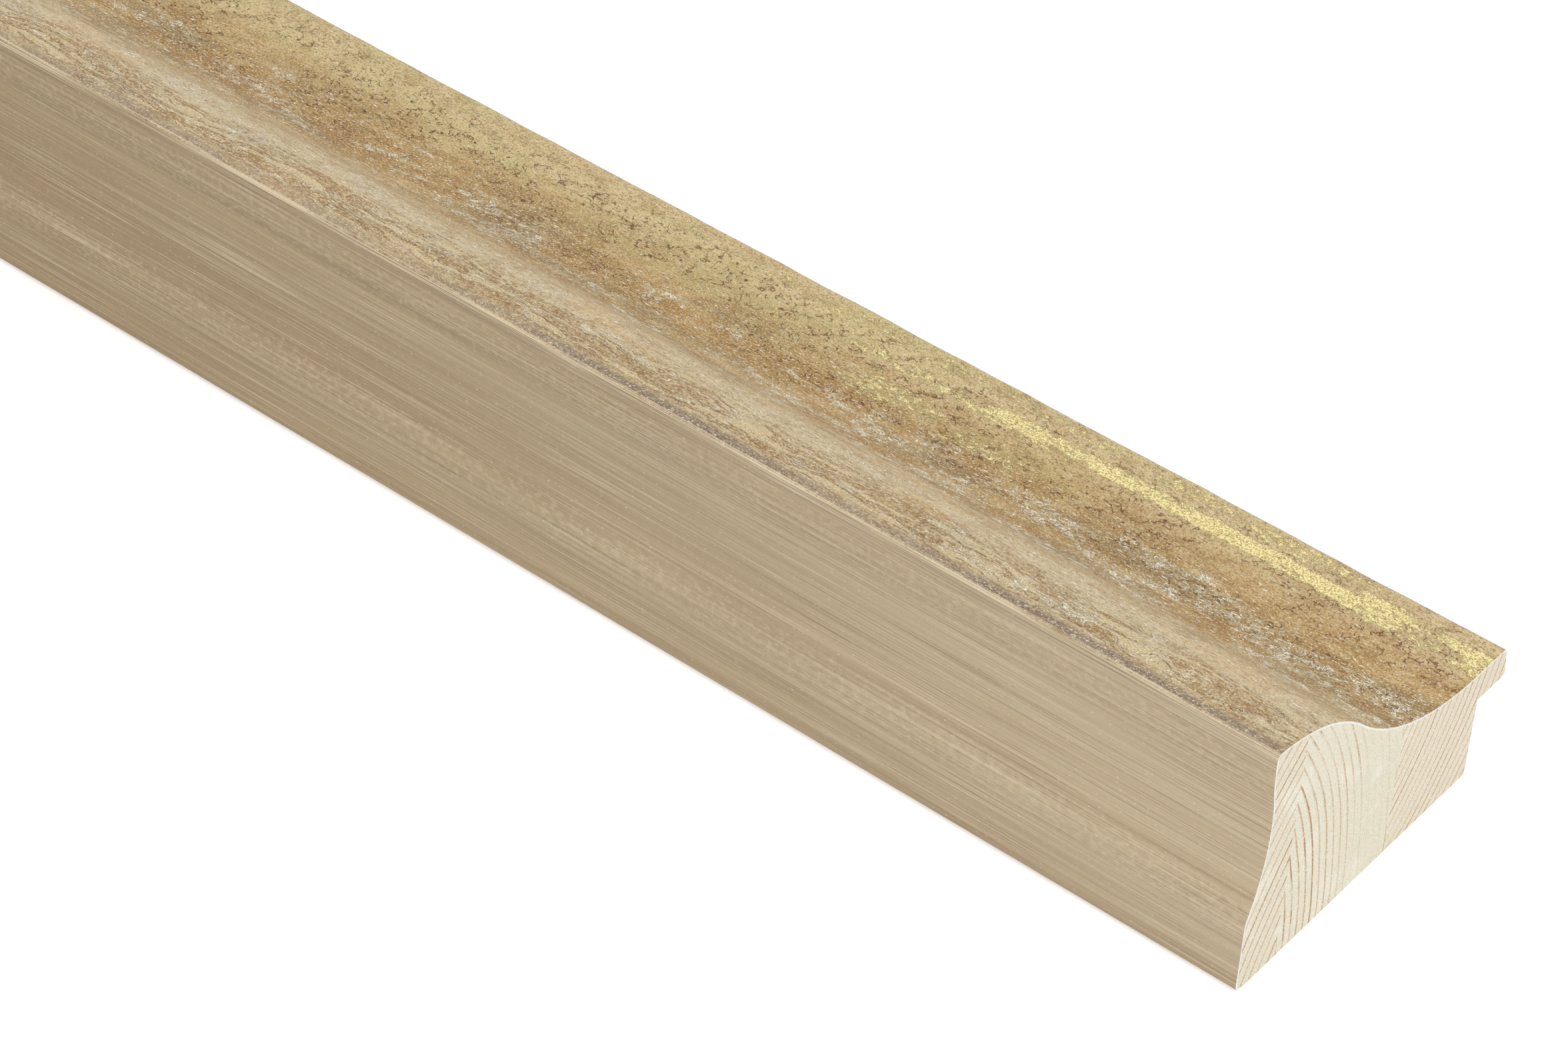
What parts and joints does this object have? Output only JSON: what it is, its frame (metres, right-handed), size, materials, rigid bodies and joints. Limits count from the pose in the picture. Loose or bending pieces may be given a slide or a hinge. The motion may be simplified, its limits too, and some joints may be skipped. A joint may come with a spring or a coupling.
{
  "type": "picture frame moulding",
  "caption": "Straight stick of wooden picture frame moulding with an ovolo and scoop face, a coved outer side, a narrow lip and a rabbet for the glass and picture.",
  "frame": {"origin": "middle of the flat back, halfway along the stick", "axes": "+X along the stick, +Y from the outer side to the sight edge, +Z from the back up to the face"},
  "size_m": [0.9144, 0.0639, 0.0429],
  "materials": {
    "stick": "pine with an antiqued gesso face in ochre, grey-brown and worn gold leaf, a taupe washed outer side, and bare ends, back and rabbet"
  },
  "bodies": {
    "root": {"moulding": "stick"}
  },
  "joints": []
}
